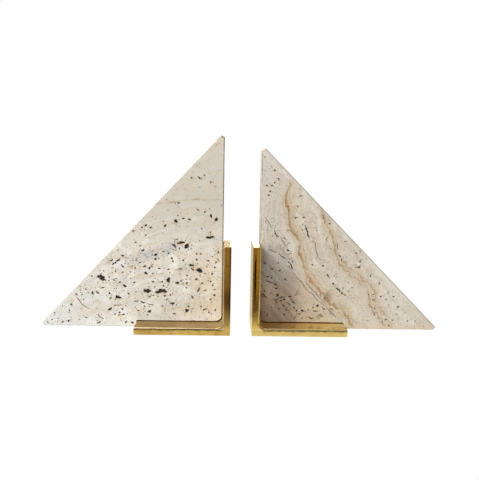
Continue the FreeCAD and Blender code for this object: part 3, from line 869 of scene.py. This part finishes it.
def right_travertine():
    """Beige stone with jagged tan veins that run nearly along the sloping edge."""
    g, slab = Graph("right_travertine"), Slab("right")
    spot, s, y, h = slab_position(g, slab)
    root = math.sqrt(0.5)
    along = g.times(g.minus(s, h), root)
    across = g.times(g.add(s, h), root)
    scallop = g.apart(g.stretched((along, 0.13), (across, 0.03), (y, 0.02), 1.0), 0.5)
    jag = g.add(g.swing(g.noise(spot, 0.05, 2.0), 8.0), g.times(scallop, 14.0))
    jag = g.add(jag, g.swing(g.noise(spot, 0.22, 4.0, 0.65), 5.5))
    sway = g.swing(g.noise(spot, 0.02, 1.0), g.times(y, 0.25))
    offsets, masks = [], []
    for half, strength, path in VEINS:
        turned = [((a - b) * root, (a + b) * root) for a, b in path]
        middle = path_curve(g, along, turned, -110, 110, 60, 140)
        offset = g.add(g.minus(across, middle), g.add(jag, sway))
        offsets.append(offset)
        first, last = turned[0][0], turned[-1][0]
        ends = g.ramps((along, first - 3, first + 12), (along, last + 12, last))
        masks.append((half, g.times(ends, strength), offset))
    bed = offsets[0]
    strata = g.stretched((bed, 0.16), (along, 0.012), (y, 0.02), 5.0, 0.68)
    fine = g.stretched((bed, 0.6), (along, 0.03), (y, 0.05), 3.0, 0.6)
    cloud = g.noise(spot, 0.05, 5.0, 0.62)
    mottle = g.noise(spot, 0.5, 4.0, 0.7)

    color = g.mix(g.ramp(s, 0, 50), srgb(215, 208, 198), srgb(220, 212, 197))
    color = g.mix(g.times(g.ramp(s, 90, 140), 0.9), color, srgb(230, 222, 207))
    between = g.ramps((offsets[0], 0, 8), (offsets[1], 3, -8))
    color = g.layers(color, (g.times(between, 0.2), (226, 212, 186)),
                     (g.ramp(strata, 0.5, 0.64, 0.0, 0.5), (203, 187, 162)),
                     (g.ramp(strata, 0.46, 0.32, 0.0, 0.85), (233, 227, 217)),
                     (g.ramp(fine, 0.52, 0.7, 0.0, 0.5), (192, 176, 150)),
                     (g.ramp(cloud, 0.54, 0.7, 0.0, 0.55), (230, 223, 211)),
                     (g.ramp(mottle, 0.4, 0.72, 0.0, 0.3), (180, 164, 142)))
    hair = g.ramp(g.apart(strata, 0.53), 0.011, 0.002)
    color = g.mix(g.times(hair, g.ramp(cloud, 0.4, 0.6, 0.1, 0.7)), color, srgb(168, 142, 108))
    breaks = g.ramp(g.noise(spot, 0.1, 3.0), 0.3, 0.6, 0.3, 1.0)
    for half, strength, offset in masks:
        wide = g.times(profile(g, offset, 5 * half, VEIN_TINT),
                       g.times(strength, g.ramp(cloud, 0.3, 0.6, 0.55, 0.95)))
        core = g.times(profile(g, offset, 5 * half, VEIN_CORE),
                       g.times(g.times(strength, 1.4, True), breaks))
        color = g.layers(color, (wide, (208, 184, 148)), (core, (158, 124, 78)))
    # The darker corner by the bracket: partly the stone's own tint, partly painted shadow; shade is the
    # shadowed colour.
    corner_tint_and_shadow = path_curve(g, s, CORNER_TINT_AND_SHADOW, 0, 100, 0, 100)
    corner_tint_and_shadow = g.ramp(g.add(g.minus(h, corner_tint_and_shadow), jag), 5.0, -4.0)
    shade = g.mix(g.ramp(h, 35, 60), srgb(204, 178, 150), srgb(184, 175, 168))
    bands = g.add(across, g.times(jag, 0.6))
    arcs = g.stretched((bands, 0.24), (along, 0.02), (y, 0.03), 4.0, 0.6, 0.3)
    streak = g.ramps((g.apart(bands, 49), 3.5, 0.5), (s, 50, 30))
    shade = g.layers(shade, (g.ramp(arcs, 0.5, 0.66, 0.0, 0.75), (142, 118, 98)),
                     (g.ramp(arcs, 0.46, 0.34, 0.0, 0.75), (208, 200, 190)),
                     (g.times(streak, g.ramp(s, 2, 12, 0.0, 0.45)), (138, 128, 122)),
                     (g.ramp(s, 28, 50, 0.0, 0.7), (228, 208, 182)))
    color = g.mix(g.times(corner_tint_and_shadow, 0.75), color, shade)
    # Darker still towards the corner of upright and ledge: painted shade.
    color = g.mix(g.ramp(g.larger(s, h), 55, 5, 0.0, 0.35), color, srgb(128, 106, 88))
    amount = g.add(g.ramp(g.noise(spot, 0.06, 3.0), 0.45, 0.7, 0.05, 0.3), g.times(corner_tint_and_shadow, 0.15))
    color = all_specks(g, spot, color, amount, (128, 100, 78), (140, 110, 82))
    crest = (slab.height + slab.APEX_RUN) * root
    # A dark thin line along the sloping edge's arris: painted shade; and a dotted darker line along the
    # upright edge.
    edge_shade_and_grime = g.larger(g.ramp(across, crest - 1.0, crest - 0.3), g.ramps((s, 1.0, 0.3), (cloud, 0.4, 0.6)))
    color = g.mix(g.times(g.times(edge_shade_and_grime, by_front(g, y, slab)), 0.85), color, srgb(106, 88, 72))
    color = open_pores(g, spot, color, (srgb(128, 108, 90), srgb(170, 138, 106)),
                       (srgb(44, 32, 27), srgb(88, 68, 57), srgb(104, 54, 38)))
    return stone_surface(g, spot, color)


def brass(side, light, deep, dull, roughness):
    """Cast and rubbed brass: long soft scratches, cloudy tarnish, tiny dents; on its front painted dark
    reflections and a painted highlight on the inner rims, with painted reflection tones low on the right one
    and on the left one's ledge top.
    """
    g = Graph(side + "_brass")
    low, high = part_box(side + "_brass_bracket")
    book_face = min(abs(low.x), abs(high.x)) / MM
    spot, x, y, z = g.position()
    cloud = g.noise(spot, 0.05, 4.0, 0.6)
    mottle = g.noise(spot, 0.28, 4.0, 0.65)
    dents = g.noise(spot, 0.8, 2.0, 0.5)
    rubbed = g.stretched((x, 0.09), (y, 1.1), (z, 0.09), 3.0, 0.6)
    scratch = g.stretched((x, 0.2), (y, 3.0), (z, 3.0), 2.0, 0.6)
    color = g.mix(g.ramp(cloud, 0.35, 0.7), light, deep)
    color = g.mix(g.ramp(mottle, 0.5, 0.78, 0.0, 0.6), color, dull)

    in_front = g.ramp(y, low.y / MM + 1.2, low.y / MM + 0.4)
    depth = g.add(g.minus(g.math("ABSOLUTE", x), book_face), g.swing(mottle, 1.6))
    high_up = g.ramp(z, 12, 30)
    if side == "left":
        # Darker along the upright's outer rounded edge: painted dark reflection.
        streak = g.times(g.ramp(depth, 2.2, 0.6), g.times(high_up, 0.85))
        low_band = g.ramp(g.apart(z, 38), 14, 4, 0.0, 0.45)
        color = g.mix(low_band, color, srgb(112, 66, 10))
        # The left ledge's top painted a darker brown-gold: painted reflection of the stone in it.
        ledge_top_reflection = g.ramps((z, 7.4, 8.1), (depth, 9.0, 10.5))
        color = g.mix(g.times(ledge_top_reflection, 0.5), color, srgb(150, 114, 54))
    else:
        # Paler below 7 mm: painted reflection of the pale floor.
        color = g.mix(g.ramp(z, 7.0, 5.5, 0.0, 0.6), color, srgb(212, 188, 124))
        # Dark streaks down the upright's front and along its outer edge: painted dark reflections.
        streak = g.times(g.ramp(g.apart(depth, 2.5), 1.6, 0.5),
                         g.ramps((z, 22, 55), (z, 90, 72, 0.3, 1.0)))
        streak = g.larger(streak, g.times(g.ramp(depth, 1.6, 0.3), g.times(high_up, 0.6)))
    # A dark line along the ledge's rounded front edge: painted dark reflection.
    dark_reflection_line = g.math("ABSOLUTE", g.add(g.minus(z, 6.0), g.swing(cloud, 2.0)))
    dark_reflection_line = g.times(g.ramps((dark_reflection_line, 0.9, 0.2), (mottle, 0.35, 0.6)), g.ramp(depth, 6.0, 12.0))
    # A near-white line along the inner rims of ledge and upright, near the front only: painted highlight.
    upright_rim_highlight = g.ramp(depth, 8.3, 7.6, 0.0, 0.5 if side == "left" else 0.2)
    inner_rim_highlight = g.times(g.larger(g.ramp(z, 8.3, 7.6), upright_rim_highlight),
                        g.ramps((z, 6.8, 7.6), (depth, 6.3, 7.2)))
    inner_rim_highlight = g.times(inner_rim_highlight, g.ramp(y, low.y / MM + 4.5, low.y / MM + 3.0))
    color = g.mix(g.times(inner_rim_highlight, g.ramp(mottle, 0.4, 0.6, 0.55, 0.9)), color, srgb(255, 246, 222))
    # dark gathers the painted dark reflections, on the front faces only.
    dark = g.times(g.larger(streak, g.times(dark_reflection_line, 0.7)), in_front)
    color = g.mix(dark, color, srgb(64, 38, 10))

    finish = g.add(g.ramp(cloud, 0.3, 0.7, roughness - 0.05, roughness + 0.07), g.times(rubbed, 0.08))
    finish = g.add(finish, g.ramp(mottle, 0.55, 0.8, 0.0, 0.1))
    if side == "right":  # its ledge is rubbed brighter and mirrors the stone
        finish = g.minus(finish, g.ramps((z, 7.8, 8.05), (depth, 12, 30, 0.0, 0.12)))
    normal = g.bump(mottle, 0.2, 0.0006)
    normal = g.bump(dents, 0.12, 0.0003, normal)
    normal = g.bump(scratch, 0.08, 0.0001, normal)
    return g.finish(color, finish, normal, Metallic=1.0)


def epoxy():
    """Amber adhesive squeezed between stone and brass, with bubbles and a cloudy tone."""
    g = Graph("epoxy")
    spot, *_ = g.position()
    cloud = g.noise(spot, 0.3, 3.0)
    color = g.mix(g.ramp(cloud, 0.35, 0.7), srgb(150, 120, 74), srgb(112, 86, 50))
    bubbles = g.node("ShaderNodeTexVoronoi", {"Vector": spot, "Scale": 1.3})
    normal = g.bump(g.ramp(bubbles, 0.15, 0.35), 0.3, 0.0002)
    return g.finish(color, g.ramp(cloud, 0.3, 0.7, 0.3, 0.5), normal)


def dowel_steel():
    """Ground steel pin: fine turning marks."""
    g = Graph("dowel_steel")
    _, x, y, z = g.position()
    marks = g.stretched((x, 0.3), (y, 0.3), (z, 5.0), 2.0)
    color = g.mix(marks, srgb(168, 168, 166), srgb(202, 202, 200))
    return g.finish(color, g.add(g.times(marks, 0.2), 0.22), g.bump(marks, 0.3, 0.0001), Metallic=1.0)


def felt():
    """Pressed wool felt: matted fibres."""
    g = Graph("felt")
    spot, *_ = g.position()
    fibres = g.noise(spot, 2.6, 6.0, 0.75, 1.5)
    tufts = g.noise(spot, 0.7, 3.0, 0.6)
    color = g.mix(g.ramp(fibres, 0.35, 0.7), srgb(34, 31, 28), srgb(78, 72, 66))
    normal = g.bump(g.add(fibres, tufts), 0.6, 0.0004)
    return g.finish(color, g.ramp(fibres, 0.3, 0.7, 0.85, 0.98), normal, Sheen_Weight=0.25)


def dress(node, material):
    """Puts the material in every slot of a CAD node."""
    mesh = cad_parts[node].data
    if not mesh.materials:
        mesh.materials.append(material)
    for i in range(len(mesh.materials)):
        mesh.materials[i] = material


def dress_frame():
    """Materials for the CAD pieces that stay in view."""
    # One brass twice: the left copy's colours are darker and the right's paler, painted to stand in for how
    # each bracket is lit.
    brasses = {"left": brass("left", srgb(220, 188, 108), srgb(198, 162, 82), srgb(152, 116, 52), 0.28),
               "right": brass("right", srgb(246, 216, 126), srgb(236, 198, 98), srgb(200, 158, 70), 0.22)}
    shared = {"epoxy_bed": epoxy(), "dowel_pin": dowel_steel(), "felt_pad": felt()}
    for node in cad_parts:
        side = node.split("_")[0]
        if node.endswith("brass_bracket"):
            dress(node, brasses[side])
        for ending, material in shared.items():
            if node.endswith(ending):
                dress(node, material)


def add_stones():
    """The two travertine wedges, each in place of its CAD node."""
    recipes = {
        "left": (LEFT_PORES, LEFT_CRACKS, left_density, lambda p: -14, left_travertine),
        "right": (RIGHT_PORES, RIGHT_CRACKS, right_density, lambda p: -52, right_travertine),
    }
    for seed, side in zip((11, 47), SIDES):
        holes, cracks, density, tilt, material = recipes[side]
        holes, cracks = moved(DRAWN_SHIFT[side], holes, cracks)
        mesh = build_slab(side, holes, cracks, density, tilt, seed)
        mesh.materials.append(material())
        stone = bpy.data.objects.new(side + "_stone", mesh)
        bpy.context.scene.collection.objects.link(stone)
        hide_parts(side + "_travertine_slab")
        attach(stone, side + "_bookend")


# ---------------------------------------------------------------- the studio

def card(name, corners, color, strength, sight="glossy"):
    """A flat glowing or dark card that only one kind of ray sees; most are seen only in the brass."""
    mesh = bpy.data.meshes.new(name)
    mesh.from_pydata(corners, [], [(0, 1, 2, 3)])
    mesh.update()
    material = bpy.data.materials.new(name)
    material.use_nodes = True
    nodes, links = material.node_tree.nodes, material.node_tree.links
    nodes.clear()
    glow, output = nodes.new("ShaderNodeEmission"), nodes.new("ShaderNodeOutputMaterial")
    glow.inputs["Color"].default_value = color
    glow.inputs["Strength"].default_value = strength
    links.new(glow.outputs[0], output.inputs[0])
    mesh.materials.append(material)
    piece = bpy.data.objects.new(name, mesh)
    bpy.context.scene.collection.objects.link(piece)
    piece.visible_camera, piece.visible_shadow = sight == "camera", False
    piece.visible_glossy, piece.visible_diffuse = sight == "glossy", sight == "diffuse"
    return piece


def level(name, x0, x1, y0, y1, z, color, strength, sight="glossy"):
    """A level card."""
    card(name, [(x0, y0, z), (x1, y0, z), (x1, y1, z), (x0, y1, z)], color, strength, sight)


def soft_lamp(name, aim, distance, size, energy):
    """A round soft light aimed at the middle of the pair."""
    light = bpy.data.lights.new(name, "AREA")
    light.shape, light.size, light.energy = "DISK", size, energy
    light.color = (0.97, 0.97, 0.945)
    lamp = bpy.data.objects.new(name, light)
    aim = Vector(aim).normalized()
    lamp.location = Vector((0.03, 0, 0.06)) - aim * distance
    lamp.rotation_euler = aim.to_track_quat("-Z", "Y").to_euler()
    lamp.visible_glossy = False
    bpy.context.scene.collection.objects.link(lamp)
    return lamp


def add_studio():
    """A pale floor, a key from the upper left, fills from three sides, and cards for the brass to mirror."""
    size, white, warm = 6.0, (1, 1, 1, 1), (1.0, 0.6, 0.2, 1)
    paper, wall = (1, 0.98, 0.94, 1), (1, 0.98, 0.95, 1)
    under, high, half = -0.0005, 1.0, 0.5
    level("floor", -size, size, -size, size, 0, white, 1.0, "camera")
    level("floor_light", -size, size, -size, size, -0.0002, white, 0.5, "diffuse")
    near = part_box("left_brass_bracket")[0].y
    dark_from, dark_to, back = near - 0.055, near - 0.22, 0.05
    level("near_sheet", -half, half, dark_from, back, under, paper, 0.95)
    level("far_sheet", -half, half, back, 1.2, under, paper, 0.7)
    level("dark_table", -half, half, dark_to, dark_from, under, warm, 0.04)
    level("far_table", -half, half, -1.6, dark_to, under, warm, 0.45)
    level("left_rim_light", -0.7, -0.1, -0.25, back, high, wall, 5.0)
    level("right_rim_light", 0.15, 0.7, -0.25, back, high, wall, 1.2)
    for name, x0, x1, strength in (("back_left", -1.5, 0.03, 0.65), ("back_right", 0.03, 1.5, 3.6)):
        card(name, [(x0, 1.2, 0), (x1, 1.2, 0), (x1, 1.2, 1.2), (x0, 1.2, 1.2)], white, strength)
    x = -1.2
    card("left_sheet", [(x, -0.9, 0), (x, 1.2, 0), (x, 1.2, high), (x, -0.9, high)], wall, 0.9)

    world = bpy.data.worlds.new("studio")
    world.use_nodes = True
    nodes, links = world.node_tree.nodes, world.node_tree.links
    back = nodes["Background"]
    seen = nodes.new("ShaderNodeBackground")
    seen.inputs["Color"].default_value = (1, 1, 1, 1)
    back.inputs["Color"].default_value = (0.95, 0.97, 1.0, 1)
    back.inputs["Strength"].default_value = 0.22
    path, blend = nodes.new("ShaderNodeLightPath"), nodes.new("ShaderNodeMixShader")
    links.new(path.outputs["Is Camera Ray"], blend.inputs[0])
    links.new(back.outputs[0], blend.inputs[1])
    links.new(seen.outputs[0], blend.inputs[2])
    links.new(blend.outputs[0], nodes["World Output"].inputs[0])
    bpy.context.scene.world = world

    soft_lamp("fill", (0.25, 1.0, -0.3), 3.0, 1.2, 24)
    soft_lamp("back_fill", (-0.3, -1.0, -0.4), 3.0, 1.2, 24)
    soft_lamp("side_fill", (-1.0, -0.45, -0.5), 3.0, 1.2, 45)  # from behind the stones' fronts
    key = soft_lamp("key", (1.9, 1.0, -1.9), 3.2, 1.3, 120)
    turn = key.rotation_euler.to_matrix()
    reach = 0.65
    corners = [key.location + turn @ Vector((i * reach, j * reach, 0)) for i, j in
               ((-1, -1), (1, -1), (1, 1), (-1, 1))]
    card("key_window", corners, (1, 0.97, 0.9, 1), 7.0)


def add_camera():
    """The camera, almost level, a little left of the gap. Its place, turn and lens were fitted."""
    place = Vector((-0.01725, -0.62499, 0.1657))
    yaw, pitch, roll = -0.0237, -0.1118, -0.0181
    sensor_width, lens, nearest = 36.0, 45.09, 0.02
    look = Matrix.Rotation(yaw, 3, "Z") @ Matrix.Rotation(pitch, 3, "X") @ Matrix.Rotation(roll, 3, "Y")
    right, forward, up = look.col[0], look.col[1], look.col[2]
    turned = Matrix((right, up, -forward)).transposed().to_4x4()
    data = bpy.data.cameras.new("camera")
    data.sensor_fit, data.sensor_width, data.lens = "HORIZONTAL", sensor_width, lens
    data.clip_start = nearest
    camera = bpy.data.objects.new("camera", data)
    camera.matrix_world = Matrix.Translation(place) @ turned
    bpy.context.scene.collection.objects.link(camera)
    bpy.context.scene.camera = camera
    bpy.context.scene.view_settings.view_transform = "Standard"


add_stones()
dress_frame()
add_studio()
add_camera()
